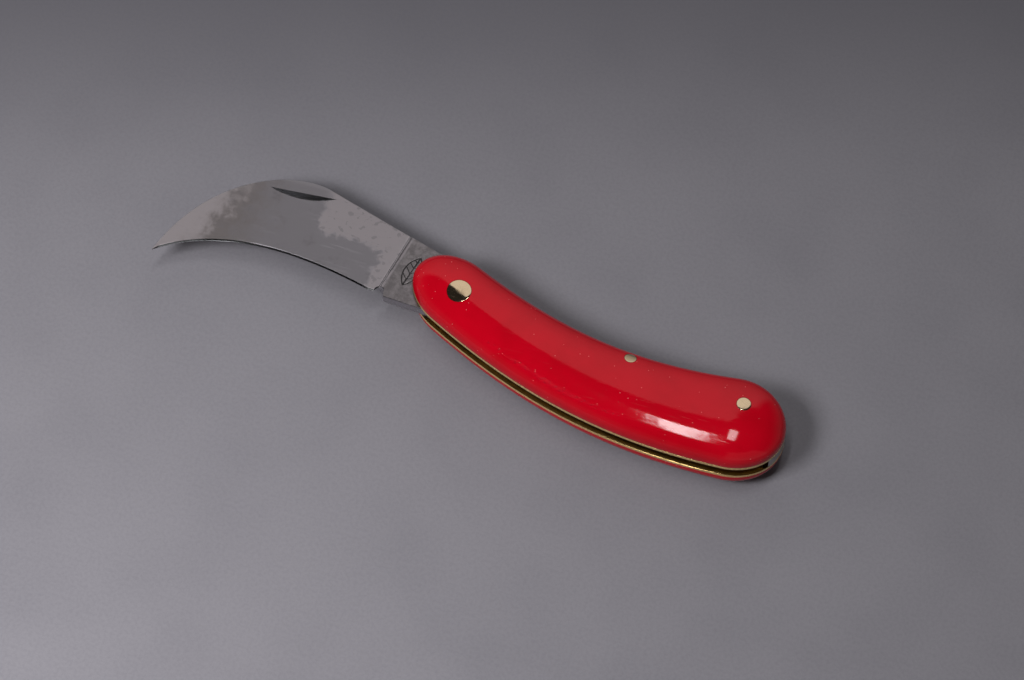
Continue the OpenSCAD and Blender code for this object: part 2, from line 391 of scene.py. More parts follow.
def makeSpring():
    bm = bmesh.new()
    bm.from_mesh(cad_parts["back_spring"].data)
    bmesh.ops.scale(bm, vec=(1 / mm, 1 / mm, 1 / mm), verts=bm.verts)
    bmesh.ops.remove_doubles(bm, verts=bm.verts, dist=touching)
    return makePiece("backSpring", bm, "handle", ["back_spring"], sharpAngle=35)


backSpring = makeSpring()
print("spring made")


# Blade

bladeShape = {
    "tip": (-81.4, -9.2),
    "spineBend": (-42.0, 21.6),
    "spinePulls": [(-53.0, 25.4), (-75.2, 16.6)],
    "edgePulls": [(-66.5, 3.2), (-45.0, 2.2)],
    "heel": (-24.4, -2.5),
    "grooveTop": (-17.9, 15.09),
    "grooveWidth": 1.15,
    "grooveTurn": 0.27,
    "grooveDepth": 0.14,
    "grooveShare": 0.8,
    "rampFrom": 0.45,
    "notchAt": (-21.3, -2.6),
    "notchRadius": 1.4,
    "tangCorner": (-19.6, -3.9),
    "overHeel": (-24.0, 16.74),
    "overCorner": (-14.0, 14.04),
    "notchSide": (-22.75, -2.5),
    "underTang": [(-9.5, -4.2), (-6.2, -4.86), (-5.1, -5.08)],
    "underTangEnd": -135.1,
    "seatAngle": 68.0,
    "foldAngle": 160.0,
    "tangFlat": 6.3,
    "tangRadius": 7.2,
    "shoulderRun": -3.9,
    "shoulderRise": 9.5,
    "boreGap": 0.05,
    "grindCentre": (-45.1, -71.6),
    "grindRadius": 72.0,
    "grindSpan": 21.0,
    "edgeThickness": 0.4,
    "edgeBevelWidth": 0.52,
    "edgeLeft": 0.05,
    "rowsAcross": 76,
    "edgeRows": 5,
    "backRows": 2,
    "tipCrowding": 1.3,
    "chamfer": 0.12,
}


def direction(degrees):
    return np.array([math.cos(math.radians(degrees)), math.sin(math.radians(degrees))])


def arcPoints(centre, radius, fromDeg, toDeg, count):
    return [np.array(centre) + radius * direction(a) for a in np.linspace(fromDeg, toDeg, count)]


# The blade's outline as matching stretches of its upper and lower side, from the tip to the tang's round
def bladeStretches():
    b = bladeShape
    spine = [bezierPoint([b["spineBend"], *b["spinePulls"], b["tip"]], t) for t in np.linspace(1, 0, 161)]
    edge = [bezierPoint([b["tip"], *b["edgePulls"], b["heel"]], t) for t in np.linspace(0, 1, 161)]
    # The edge's first stretch lies under the spine's curve
    split = 100
    seatUp = direction(b["seatAngle"])
    seatAlong = np.array([seatUp[1], -seatUp[0]])
    shoulderTop = seatUp * b["shoulderRise"] + seatAlong * b["shoulderRun"]
    shoulderLow = seatUp * b["tangFlat"] + seatAlong * b["shoulderRun"]
    corner = math.degrees(math.acos(b["tangFlat"] / b["tangRadius"]))
    foldSeat = b["seatAngle"] - b["foldAngle"]
    meet = (b["seatAngle"] + foldSeat) / 2
    notch = b["notchAt"]
    notchLeft = arcPoints(notch, b["notchRadius"], 174, 118, 10)
    notchRight = arcPoints(notch, b["notchRadius"], 76, -12, 18)
    grooveTop = np.array(b["grooveTop"])
    grooveLeft = grooveTop - b["grooveWidth"] * np.array([1, -b["grooveTurn"]])
    seatArc = arcPoints((0, 0), b["tangRadius"], b["seatAngle"] - corner, meet, 24)
    underTang = [np.array(p) for p in b["underTang"]]
    foldArc = (arcPoints((0, 0), b["tangRadius"], b["underTangEnd"], foldSeat - corner, 6)
               + arcPoints((0, 0), b["tangRadius"], foldSeat + corner, meet, 24))
    return [
        (spine, edge[:split + 1], 170),
        ([b["spineBend"], b["overHeel"]], edge[split:], 84),
        ([b["overHeel"], grooveLeft], [b["heel"], b["notchSide"]] + notchLeft, 22),
        ([grooveLeft, grooveTop], arcPoints(notch, b["notchRadius"], 118, 76, 8), 16),
        ([grooveTop, b["overCorner"]], notchRight + [b["tangCorner"]], 24),
        ([b["overCorner"], shoulderTop], [b["tangCorner"], underTang[0]], 50),
        ([shoulderTop, shoulderLow], underTang[:2], 12),
        ([shoulderLow] + seatArc, underTang[1:] + foldArc, 46),
    ]


# Even points along a chain of points
def spread(points, shares):
    points = np.array(points, float)
    runs = np.concatenate([[0], np.cumsum(np.linalg.norm(np.diff(points, axis=0), axis=1))])
    runs /= runs[-1]
    return np.stack([np.interp(shares, runs, points[:, k]) for k in (0, 1)], axis=1)


def smoothStep(x):
    x = min(1.0, max(0.0, x))
    return x * x * (3 - 2 * x)


# Half thickness of the steel at a point, before the bevels
def groundHeight(x, y):
    b = bladeShape
    reach = math.hypot(x - b["grindCentre"][0], y - b["grindCentre"][1]) - b["grindRadius"]
    rise = b["edgeThickness"] / 2 + (halfBlade - b["edgeThickness"] / 2) * reach / b["grindSpan"]
    return min(halfBlade, max(b["edgeThickness"] / 2, rise))


def makeBladePlate():
    b = bladeShape
    stretches = bladeStretches()
    columns, marks = [], []
    for index, (upper, lower, count) in enumerate(stretches):
        shares = np.linspace(0, 1, count + 1)
        if index == 0:
            shares = shares ** b["tipCrowding"]
        if index:
            shares = shares[1:]
        for top, foot, share in zip(spread(upper, shares), spread(lower, shares), shares):
            columns.append((top, foot))
            marks.append(index + share)
    rows, edgeRows, backRows = b["rowsAcross"], b["edgeRows"], b["backRows"]
    bm = bmesh.new()
    bmesh.ops.create_grid(bm, x_segments=len(columns) - 1, y_segments=rows, size=1)
    for v in bm.verts:
        i = round((v.co.x + 1) / 2 * (len(columns) - 1))
        j = round((v.co.y + 1) / 2 * rows)
        (top, foot), mark = columns[i], marks[i]
        width = float(np.linalg.norm(top - foot))
        # The first rows lie in the edge bevel, and the last ones in the chamfer of the back
        bevel = min(b["edgeBevelWidth"], width * 0.3)
        side = min(b["chamfer"], width * 0.1)
        if j <= edgeRows:
            fromEdge = bevel * j / edgeRows
        elif j >= rows - backRows:
            fromEdge = width - side * (rows - j) / backRows
        else:
            fromEdge = bevel + (width - side - bevel) * (j - edgeRows) / (rows - backRows - edgeRows)
        share = fromEdge / width if width > 1e-6 else 0.0
        x, y = foot + (top - foot) * share
        ground = groundHeight(x, y)
        if mark <= 3.0:
            height = b["edgeLeft"]
            if width > 0:
                height += (ground - b["edgeLeft"]) * min(1.0, fromEdge / bevel)
        elif mark < 4.0:
            across = mark - 3.0
            ramp = smoothStep((across - b["rampFrom"]) / (1 - b["rampFrom"]))
            dip = b["grooveDepth"] * math.sin(math.pi * min(1.0, across / b["grooveShare"])) ** 2
            height = ground + (halfBlade - ground) * ramp - dip
        else:
            height = halfBlade
        if mark > 3.0 and fromEdge < side:
            height -= (side - fromEdge) * smoothStep(mark - 3.0)
        if width - fromEdge < side:
            height -= side - (width - fromEdge)
        v.co = (x, y, -max(0.02, height))
    grown = bmesh.ops.extrude_face_region(bm, geom=bm.faces[:])
    for g in grown["geom"]:
        if isinstance(g, bmesh.types.BMVert):
            g.co.z = -g.co.z
    bmesh.ops.remove_doubles(bm, verts=bm.verts, dist=2 * touching)
    bmesh.ops.recalc_face_normals(bm, faces=bm.faces)
    return bm


# Tilted wheel that leaves the nail nick, with its steep wall towards the back
nick = {"middle": (-49.8, 18.8), "turn": 5.7, "tilt": 28.0, "length": 18.0, "sag": 1.0, "sink": 0.12,
        "wheelWidth": 8}


def nickWheel():
    radius = ((nick["length"] / 2) ** 2 + nick["sag"] ** 2) / (2 * nick["sag"])
    wheel = bmesh.new()
    bmesh.ops.create_cone(wheel, cap_ends=True, segments=360, radius1=radius, radius2=radius,
                          depth=nick["wheelWidth"])
    bmesh.ops.translate(wheel, vec=(0, radius - nick["sag"], nick["wheelWidth"] / 2), verts=wheel.verts)
    place = (Matrix.Translation((*nick["middle"], halfBlade - nick["sink"]))
             @ Matrix.Rotation(math.radians(nick["turn"]), 4, "Z")
             @ Matrix.Rotation(math.radians(90 - nick["tilt"]), 4, "X"))
    bmesh.ops.transform(wheel, matrix=place, verts=wheel.verts)
    return wheel


def makeBlade():
    bm = makeBladePlate()
    bm = cutAway(bm, nickWheel())
    bore = pivotShankRadius + bladeShape["boreGap"]
    bm = cutAway(bm, roundBar(Vector((0, 0)), bore, -2 * halfBlade, 2 * halfBlade, 72))
    bmesh.ops.translate(bm, vec=(0, 0, midHeight), verts=bm.verts)
    return makePiece("bladePiece", bm, "blade", ["blade"], sharpAngle=24)


blade = makeBlade()
print("blade made")


# Materials

class NodeSheet:
    def __init__(self, tree):
        self.tree = tree

    def add(self, kind, settings=None, inputs=None):
        node = self.tree.nodes.new(kind)
        for key, value in (settings or {}).items():
            setattr(node, key, value)
        for key, value in (inputs or {}).items():
            self.feed(node.inputs[key], value)
        return node

    def feed(self, socket, value):
        if isinstance(value, bpy.types.NodeSocket):
            self.tree.links.new(value, socket)
        elif socket.type == "RGBA" and len(value) == 3:
            socket.default_value = (*value, 1)
        else:
            socket.default_value = value

    def math(self, operation, a, b=0.0, c=0.0, clamp=False):
        node = self.add("ShaderNodeMath", {"operation": operation, "use_clamp": clamp}, {0: a, 1: b, 2: c})
        return node.outputs[0]

    # Brings a value from one span to 0..1, smoothly
    def step(self, value, low, high):
        node = self.add("ShaderNodeMapRange", {"interpolation_type": "SMOOTHSTEP"},
                        {"Value": value, "From Min": low, "From Max": high})
        return node.outputs["Result"]

    def mix(self, share, a, b):
        node = self.add("ShaderNodeMix", {"data_type": "RGBA"})
        self.feed(node.inputs[0], share)
        self.feed(node.inputs[6], a)
        self.feed(node.inputs[7], b)
        return node.outputs[2]

    def noise(self, vector, scale, detail=2.0, rough=0.5):
        node = self.add("ShaderNodeTexNoise", None,
                        {"Vector": vector, "Scale": scale, "Detail": detail, "Roughness": rough})
        return node.outputs["Fac"]

    # The vector without its height
    def inPlan(self, vector):
        node = self.add("ShaderNodeVectorMath", {"operation": "MULTIPLY"}, {0: vector, 1: (1, 1, 0)})
        return node.outputs[0]

    def distance(self, vector, x, y):
        node = self.add("ShaderNodeVectorMath", {"operation": "DISTANCE"}, {0: vector, 1: (x, y, 0)})
        return node.outputs["Value"]

    def parts(self, vector):
        return self.add("ShaderNodeSeparateXYZ", None, {"Vector": vector}).outputs

    # How far the face itself looks up or down, from 0 to 1
    def levelness(self):
        normal = self.add("ShaderNodeNewGeometry").outputs["True Normal"]
        return self.math("ABSOLUTE", self.parts(normal)["Z"])

    def bump(self, height, strength, distance):
        node = self.add("ShaderNodeBump", None,
                        {"Strength": strength, "Distance": distance, "Height": height})
        return node.outputs[0]

    def stretch(self, vector, scale, turn=0.0, shift=(0, 0, 0)):
        node = self.add("ShaderNodeMapping", {"vector_type": "POINT"},
                        {"Vector": vector, "Scale": scale, "Rotation": (0, 0, math.radians(turn)),
                         "Location": shift})
        return node.outputs["Vector"]

    def group(self, tree, inputs):
        node = self.add("ShaderNodeGroup", {"node_tree": tree}, inputs)
        return node.outputs


def newMaterial(name):
    material = bpy.data.materials.new(name)
    material.use_nodes = True
    material.node_tree.nodes.clear()
    sheet = NodeSheet(material.node_tree)
    place = sheet.add("ShaderNodeTexCoord").outputs["Object"]
    return material, sheet, sheet.stretch(place, (1 / mm, 1 / mm, 1 / mm))


def finishMaterial(sheet, inputs):
    shader = sheet.add("ShaderNodeBsdfPrincipled", None, inputs)
    output = sheet.add("ShaderNodeOutputMaterial")
    sheet.tree.links.new(shader.outputs[0], output.inputs["Surface"])


def setMaterial(material, *pieces):
    for piece in pieces:
        piece.data.materials.clear()
        piece.data.materials.append(material)


def newGroup(name, inputs, outputs):
    tree = bpy.data.node_groups.new(name, "ShaderNodeTree")
    for label, kind in inputs:
        tree.interface.new_socket(name=label, in_out="INPUT", socket_type=kind)
    for label, kind in outputs:
        tree.interface.new_socket(name=label, in_out="OUTPUT", socket_type=kind)
    sheet = NodeSheet(tree)
    return tree, sheet, sheet.add("NodeGroupInput").outputs, sheet.add("NodeGroupOutput").inputs


wearLook = {
    "lineTurns": (12, -35, 74),
    "lineShifts": (3.0, 11.0, 27.0),
    "lineStretch": (0.09, 3.4, 0.4),
    "lineSpan": (0.70, 0.76),
    "speckCells": 0.85,
    "cellsWithout": 0.72,
    "smudgeScale": 0.11,
    "smudgeSpan": (0.35, 0.75),
}


# Hairline scratches, dust specks and broad smudges, for a place given in millimetres
def makeWearGroup():
    tree, sheet, given, wanted = newGroup(
        "surfaceWear",
        [("Place", "NodeSocketVector"), ("Speck Size", "NodeSocketFloat")],
        [("Scratches", "NodeSocketFloat"), ("Specks", "NodeSocketFloat"), ("Smudges", "NodeSocketFloat")])
    lines = []
    for turn, shift in zip(wearLook["lineTurns"], wearLook["lineShifts"]):
        along = sheet.stretch(given["Place"], wearLook["lineStretch"], turn, (shift, shift, 0))
        lines.append(sheet.step(sheet.noise(along, 1.0, 1.0, 0.4), *wearLook["lineSpan"]))
    allLines = sheet.math("MAXIMUM", sheet.math("MAXIMUM", lines[0], lines[1]), lines[2])
    sheet.feed(wanted["Scratches"], allLines)
    cells = sheet.add("ShaderNodeTexVoronoi", None,
                      {"Vector": given["Place"], "Scale": wearLook["speckCells"]})
    near = sheet.math("LESS_THAN", cells.outputs["Distance"], given["Speck Size"])
    chosen = sheet.add("ShaderNodeSeparateColor", None, {"Color": cells.outputs["Color"]})
    rare = sheet.math("GREATER_THAN", chosen.outputs[0], wearLook["cellsWithout"])
    sheet.feed(wanted["Specks"], sheet.math("MULTIPLY", near, rare))
    broad = sheet.noise(given["Place"], wearLook["smudgeScale"], 4.0, 0.6)
    sheet.feed(wanted["Smudges"], sheet.step(broad, *wearLook["smudgeSpan"]))
    return tree


wear = makeWearGroup()


# Red plastic

redLook = {
    "color": (0.425, 0.0006, 0.0085),
    "deepColor": (0.375, 0.0005, 0.0068),
    "dustColor": (0.75, 0.22, 0.22),
    "ringColor": (0.09, 0.004, 0.004),
    "roughness": 0.055,
    "specular": 0.36,
    "speckSize": 0.10,
    "ringWidth": 0.13,
    "dustShare": 0.55,
    "ringShare": 0.75,
    "bump": 0.25,
    "bumpDepth": 0.00004,
}


def makeRed():
    material, sheet, place = newMaterial("redPlastic")
    worn = sheet.group(wear, {"Place": place, "Speck Size": redLook["speckSize"]})
    color = sheet.mix(worn["Smudges"], redLook["color"], redLook["deepColor"])
    dust = sheet.math("MULTIPLY", worn["Specks"], redLook["dustShare"])
    color = sheet.mix(dust, color, redLook["dustColor"])
    flat = sheet.inPlan(place)
    # Dark joint round each rivet
    for at, radius in rivetsAtSkin:
        away = sheet.distance(flat, at.x, at.y)
        ring = sheet.step(away, radius + redLook["ringWidth"] + 0.1, radius + 0.04)
        color = sheet.mix(sheet.math("MULTIPLY", ring, redLook["ringShare"]), color, redLook["ringColor"])
    rough = sheet.math("MULTIPLY_ADD", worn["Smudges"], 0.05, redLook["roughness"])
    rough = sheet.math("MULTIPLY_ADD", worn["Scratches"], 0.12, rough)
    rough = sheet.math("MULTIPLY_ADD", worn["Specks"], 0.35, rough)
    peel = sheet.noise(place, 0.55, 1.5, 0.4)
    height = sheet.math("MULTIPLY_ADD", worn["Scratches"], -0.12, peel)
    height = sheet.math("MULTIPLY_ADD", worn["Specks"], 0.5, height)
    finishMaterial(sheet, {"Base Color": color, "Roughness": rough, "Specular IOR Level": redLook["specular"],
                           "Normal": sheet.bump(height, redLook["bump"], redLook["bumpDepth"])})
    return material


setMaterial(makeRed(), frontScale, rearScale)


# Brass of the liners and the rivets

fineBump = 0.00001
brassLook = {
    "liner": {"color": (0.47, 0.33, 0.13), "tarnish": (0.20, 0.14, 0.045), "edge": (0.74, 0.50, 0.22),
              "roughness": 0.14, "tarnishShare": 0.6, "edgeMetal": 0.55, "bump": 0.10},
    "rivet": {"color": (0.95, 0.72, 0.47), "tarnish": (0.78, 0.56, 0.34), "edge": (0.90, 0.68, 0.42),
              "roughness": 0.07, "tarnishShare": 0.25, "edgeMetal": 1.0, "bump": 0.05},
}


def makeBrass(name, look):
    material, sheet, place = newMaterial(name)
    worn = sheet.group(wear, {"Place": place, "Speck Size": 0.10})
    blotches = sheet.step(sheet.noise(place, 0.5, 5.0, 0.65), 0.42, 0.72)
    dull = sheet.math("MULTIPLY", blotches, look["tarnishShare"])
    color = sheet.mix(dull, look["color"], look["tarnish"])
    # The cut edges are rubbed bright, the faces are not; the brighter edge colour is partly this wear and
    # partly a painted highlight along the edges
    onEdge = sheet.step(sheet.levelness(), 0.80, 0.45)
    color = sheet.mix(sheet.math("MULTIPLY_ADD", blotches, -0.3, onEdge, True), color, look["edge"])
    rough = sheet.math("MULTIPLY_ADD", blotches, 0.08, look["roughness"])
    rough = sheet.math("MULTIPLY_ADD", onEdge, 0.12, rough)
    rough = sheet.math("MULTIPLY_ADD", worn["Scratches"], 0.10, rough)
    metal = sheet.math("MULTIPLY_ADD", onEdge, look["edgeMetal"] - 1, 1.0)
    lines = sheet.noise(sheet.stretch(place, (0.5, 14.0, 14.0), -12), 1.0, 2.0, 0.6)
    height = sheet.math("MULTIPLY_ADD", worn["Scratches"], -0.6, lines)
    finishMaterial(sheet, {"Base Color": color, "Metallic": metal, "Roughness": rough,
                           "Normal": sheet.bump(height, look["bump"], fineBump)})
    return material


setMaterial(makeBrass("linerBrass", brassLook["liner"]), frontLiner, rearLiner)
setMaterial(makeBrass("rivetBrass", brassLook["rivet"]), pivotRivet, pivotBurr, middleRivet, endRivet)


# Steel of the blade

steelLook = {
    "color": (0.345, 0.322, 0.350),
    "brown": (0.305, 0.272, 0.275),
    "frost": (0.325, 0.291, 0.305),
    "tipFrost": (0.365, 0.327, 0.343),
    "pit": (0.250, 0.229, 0.243),
    "tangColor": (0.205, 0.186, 0.193),
    "tangPale": (0.310, 0.281, 0.293),
    "wallPaintedLight": (0.50, 0.48, 0.50),
    "nickPaintedShade": (0.19, 0.19, 0.20),
    "bevelPaintedDark": (0.10, 0.10, 0.105),
    "etch": (0.03, 0.03, 0.03),
    "roughness": 0.30,
    "bump": 0.35,
    "patchLeft": (-45.2, -43.8),
    "patchFoot": (8.7, 10.0),
    "heelPatch": (-25.8, -24.4),
    "tipFrostAt": (-67.5, -74.5),
    "brownAt": (-52.0, -68.0),
    "tangAt": (-0.15, 0.35),
    "tangLean": 0.176,
    "tangLineHeight": 13.4,
    "stainShare": 0.85,
    "leafFrom": (-15.9, 0.9),
    "leafTo": (-14.0, 9.9),
    "leafHalfWidth": 2.0,
    "lineHalfWidth": 0.14,
    "veinsPerMm": 0.55,
}


# Outline of a leaf with its midrib, as a mask
def leafMask(sheet, place):
    foot, top = Vector(steelLook["leafFrom"]), Vector(steelLook["leafTo"])
    span = top - foot
    wide, fine = steelLook["leafHalfWidth"], steelLook["lineHalfWidth"]
    radius = ((span.length / 2) ** 2 + wide ** 2) / (2 * wide)
    sideways = Vector((-span.y, span.x)).normalized()
    flat = sheet.inPlan(place)
    over = []
    for way in (1, -1):
        centre = (foot + top) / 2 + sideways * way * (radius - wide)
        over.append(sheet.math("SUBTRACT", sheet.distance(flat, centre.x, centre.y), radius))
    rim = sheet.math("MAXIMUM", over[0], over[1])
    outline = sheet.step(sheet.math("ABSOLUTE", rim), fine + 0.08, fine)
    fromRib = sheet.math("ABSOLUTE", sheet.math("MULTIPLY", sheet.math("SUBTRACT", over[0], over[1]), 0.5))
    inside = sheet.step(rim, 0.0, -0.1)
    rib = sheet.math("MULTIPLY", sheet.step(fromRib, fine + 0.08, fine), inside)
    along = sheet.math("MULTIPLY_ADD", fromRib, -1.0, sheet.parts(flat)["Y"])
    phase = sheet.math("FRACT", sheet.math("MULTIPLY", along, steelLook["veinsPerMm"]))
    waves = sheet.math("ABSOLUTE", sheet.math("SUBTRACT", phase, 0.5))
    veins = sheet.math("MULTIPLY", sheet.step(waves, 0.11, 0.06), inside)
    return sheet.math("MAXIMUM", sheet.math("MAXIMUM", outline, rib), veins)


# Frosted patch from the nick down to the heel, with a smooth tongue left in it
def patchMask(sheet, x, y, drift):
    lean = sheet.math("MULTIPLY_ADD", y, -0.1, x)
    lean = sheet.math("MULTIPLY_ADD", drift, 0.35, lean)
    leftEnd = sheet.step(lean, *steelLook["patchLeft"])
    lowEnd = sheet.step(sheet.math("MULTIPLY_ADD", drift, 0.32, y), *steelLook["patchFoot"])
    heelPatch = sheet.step(lean, *steelLook["heelPatch"])
    return sheet.math("MAXIMUM", sheet.math("MULTIPLY", leftEnd, lowEnd), heelPatch)


# How deep a point lies under the ground face, and its distance from the edge's side of that face
def depthUnderGrind(sheet, place, z):
    b = bladeShape
    reached = sheet.distance(sheet.inPlan(place), *b["grindCentre"])
    slope = (halfBlade - b["edgeThickness"] / 2) / b["grindSpan"]
    ground = sheet.math("MULTIPLY_ADD", reached, slope, b["edgeThickness"] / 2 - slope * b["grindRadius"])
    ground = sheet.math("MINIMUM", ground, halfBlade)
    fromMiddle = sheet.math("ABSOLUTE", sheet.math("SUBTRACT", z, midHeight))
    return sheet.math("SUBTRACT", ground, fromMiddle), sheet.math("SUBTRACT", reached, b["grindRadius"])


def makeSteel():
    material, sheet, place = newMaterial("bladeSteel")
    worn = sheet.group(wear, {"Place": place, "Speck Size": 0.12})
    x, y, z = sheet.parts(place)
    drift = sheet.math("MULTIPLY_ADD", sheet.noise(place, 0.24, 7.0, 0.72), 26.0, -13.0)
    onFront = sheet.step(z, midHeight, midHeight + 0.05)
    up = sheet.math("SUBTRACT", y, steelLook["tangLineHeight"])
    pastGroove = sheet.math("ADD", x, -bladeShape["grooveTop"][0])
    pastGroove = sheet.math("MULTIPLY_ADD", up, -steelLook["tangLean"], pastGroove)
    onTang = sheet.step(pastGroove, *steelLook["tangAt"])
    patch = sheet.math("MULTIPLY", patchMask(sheet, x, y, drift), sheet.math("SUBTRACT", 1.0, onTang))
    patch = sheet.math("MULTIPLY", patch, onFront)
    tip = sheet.math("MULTIPLY_ADD", drift, 0.8, sheet.math("MULTIPLY_ADD", y, -0.30, x))
    tip = sheet.step(tip, *steelLook["tipFrostAt"])
    frosted = sheet.math("MAXIMUM", patch, tip)
    crowd = sheet.math("MULTIPLY", sheet.noise(place, 0.16, 1.0, 0.5), -0.22)
    pits = sheet.step(sheet.math("ADD", sheet.noise(place, 0.62, 3.0, 0.5), crowd), 0.485, 0.54)
    pits = sheet.math("MULTIPLY", pits, patch)
    stained = steelLook["stainShare"]
    brownShare = sheet.step(sheet.math("ADD", x, drift), *steelLook["brownAt"])
    color = sheet.mix(brownShare, steelLook["color"], steelLook["brown"])
    color = sheet.mix(sheet.math("MULTIPLY", patch, stained), color, steelLook["frost"])
    color = sheet.mix(sheet.math("MULTIPLY", tip, stained), color, steelLook["tipFrost"])
    color = sheet.mix(sheet.math("MULTIPLY", pits, stained), color, steelLook["pit"])
    mottle = sheet.step(sheet.noise(place, 0.55, 5.0, 0.7), 0.36, 0.64)
    color = sheet.mix(onTang, color, sheet.mix(mottle, steelLook["tangColor"], steelLook["tangPale"]))
    clouds = sheet.noise(place, 0.22, 6.0, 0.6)
    color = sheet.mix(sheet.step(clouds, 0.55, 0.85), color, steelLook["pit"])
    # Below the ground face lie the nick, high up, and the edge bevel. Both get painted dark colours: painted
    # shade in the nick and a painted dark reflection on the bevel.
    depth, fromFoot = depthUnderGrind(sheet, place, z)
    # Past the notch the painted dark is cut to a quarter, leaving a faint painted shade line in the groove
    inGroove = sheet.math("MULTIPLY_ADD", sheet.step(x, -22.0, -21.4), -0.75, 1.0)
    below = sheet.math("MULTIPLY", sheet.step(depth, 0.012, 0.035), inGroove)
    upper = sheet.step(fromFoot, 10.0, 11.0)
    color = sheet.mix(below, color, sheet.mix(upper, steelLook["bevelPaintedDark"], steelLook["nickPaintedShade"]))
    # Painted light: the steep side walls get a lighter colour so they match the floor's brightness instead of
    # showing dark
    color = sheet.mix(sheet.step(sheet.levelness(), 0.55, 0.25), color, steelLook["wallPaintedLight"])
    leaf = sheet.math("MULTIPLY", leafMask(sheet, place), onFront)
    color = sheet.mix(sheet.math("MULTIPLY", leaf, stained), color, steelLook["etch"])
    rough = sheet.math("MULTIPLY_ADD", frosted, 0.16, steelLook["roughness"])
    rough = sheet.math("MULTIPLY_ADD", worn["Scratches"], 0.08, rough)
    rough = sheet.math("MULTIPLY_ADD", leaf, 0.3, rough)
    onBevel = sheet.math("MULTIPLY", below, sheet.math("SUBTRACT", 1.0, upper))
    rough = sheet.math("MULTIPLY_ADD", onBevel, -0.18, rough)
    metal = sheet.math("MULTIPLY_ADD", frosted, -0.10, 1.0)
    grind = sheet.noise(sheet.stretch(place, (9.0, 0.25, 1.0), 4), 1.0, 3.0, 0.6)
    height = sheet.math("MULTIPLY_ADD", worn["Scratches"], -0.3, grind)
    height = sheet.math("MULTIPLY_ADD", leaf, -6.0, height)
    height = sheet.math("MULTIPLY_ADD", pits, -0.8, height)
    finishMaterial(sheet, {"Base Color": color, "Metallic": metal, "Roughness": rough,
                           "Normal": sheet.bump(height, steelLook["bump"], fineBump)})
    return material


setMaterial(makeSteel(), blade)


# Steel of the back spring

springLook = {
    "color": (0.36, 0.345, 0.335),
    "stain": (0.25, 0.23, 0.21),
    "stainShare": 0.6,
    "roughness": 0.28,
    "bump": 0.35,
}


def makeSpringSteel():
    material, sheet, place = newMaterial("springSteel")
    worn = sheet.group(wear, {"Place": place, "Speck Size": 0.15})
    blotches = sheet.step(sheet.noise(place, 0.4, 5.0, 0.6), 0.45, 0.75)
    stained = sheet.math("MULTIPLY", blotches, springLook["stainShare"])
    color = sheet.mix(stained, springLook["color"], springLook["stain"])
    rough = sheet.math("MULTIPLY_ADD", blotches, 0.15, springLook["roughness"])
    filed = sheet.noise(sheet.stretch(place, (0.4, 0.4, 9.0), 0), 1.0, 3.0, 0.6)
    height = sheet.math("MULTIPLY_ADD", worn["Scratches"], -0.5, filed)
    finishMaterial(sheet, {"Base Color": color, "Metallic": 1.0, "Roughness": rough,
                           "Normal": sheet.bump(height, springLook["bump"], fineBump)})
    return material


setMaterial(makeSpringSteel(), backSpring)
print("materials made")


# Stage, light and camera

paperLook = {
    "color": (0.186, 0.178, 0.197),
    "fleck": (0.150, 0.144, 0.162),
    "farPaintedShade": (0.100, 0.096, 0.111),
    "awayFromCamera": (-0.32, 0.947),
    "far": (0.03, 0.12),
    "size": 4.0,
}


def makeFloor():
    bm = bmesh.new()
    bmesh.ops.create_grid(bm, x_segments=1, y_segments=1, size=paperLook["size"])
    mesh = bpy.data.meshes.new("floor")
    bm.to_mesh(mesh)
    bm.free()
    floor = bpy.data.objects.new("floor", mesh)
    bpy.context.scene.collection.objects.link(floor)
    material, sheet, place = newMaterial("paper")
    fibres = sheet.noise(place, 1.1, 5.0, 0.75)
    broad = sheet.noise(place, 0.03, 2.0, 0.5)
    grain = sheet.math("ADD", sheet.step(fibres, 0.38, 0.66), sheet.step(broad, 0.3, 0.9))
    color = sheet.mix(sheet.math("MULTIPLY", grain, 0.5), paperLook["color"], paperLook["fleck"])
    # Painted shade: the paper darkens away from the camera, standing in for the light falling off
    back = Vector((*paperLook["awayFromCamera"], 0)) * mm
    depth = sheet.add("ShaderNodeVectorMath", {"operation": "DOT_PRODUCT"}, {0: place, 1: back})
    away = sheet.step(depth.outputs["Value"], *paperLook["far"])
    color = sheet.mix(sheet.math("MULTIPLY", away, 0.8), color, paperLook["farPaintedShade"])
    finishMaterial(sheet, {"Base Color": color, "Roughness": 0.95,
                           "Normal": sheet.bump(fibres, 0.3, 0.00008)})
    setMaterial(material, floor)


makeFloor()

# Brightness of what stands round the stage. The wall behind reaches up to where y is wallRatio times z.
studio = {
    "wallLow": 0.20,
    "wallHigh": 0.60,
    "wallRatio": 0.42,
    "dark": 0.016,
    "wallBend": 0.9,
    "bendRightOf": -0.12,
    "bendLeftOf": -0.25,
    "wallBlur": 0.012,
    "blurGrowth": 0.25,
    "wallRightEnd": (0.10, -0.06),
    "lowFront": 0.12,
    "lowSpan": (0.62, 0.15),
    "card": 0.18,
    "cardSpans": ((0.02, 0.18), (-0.12, -0.30), (0.84, 0.74)),
    "sideShare": 0.2,
    "sideSpans": ((0.12, 0.32), (0.64, 0.46)),
}


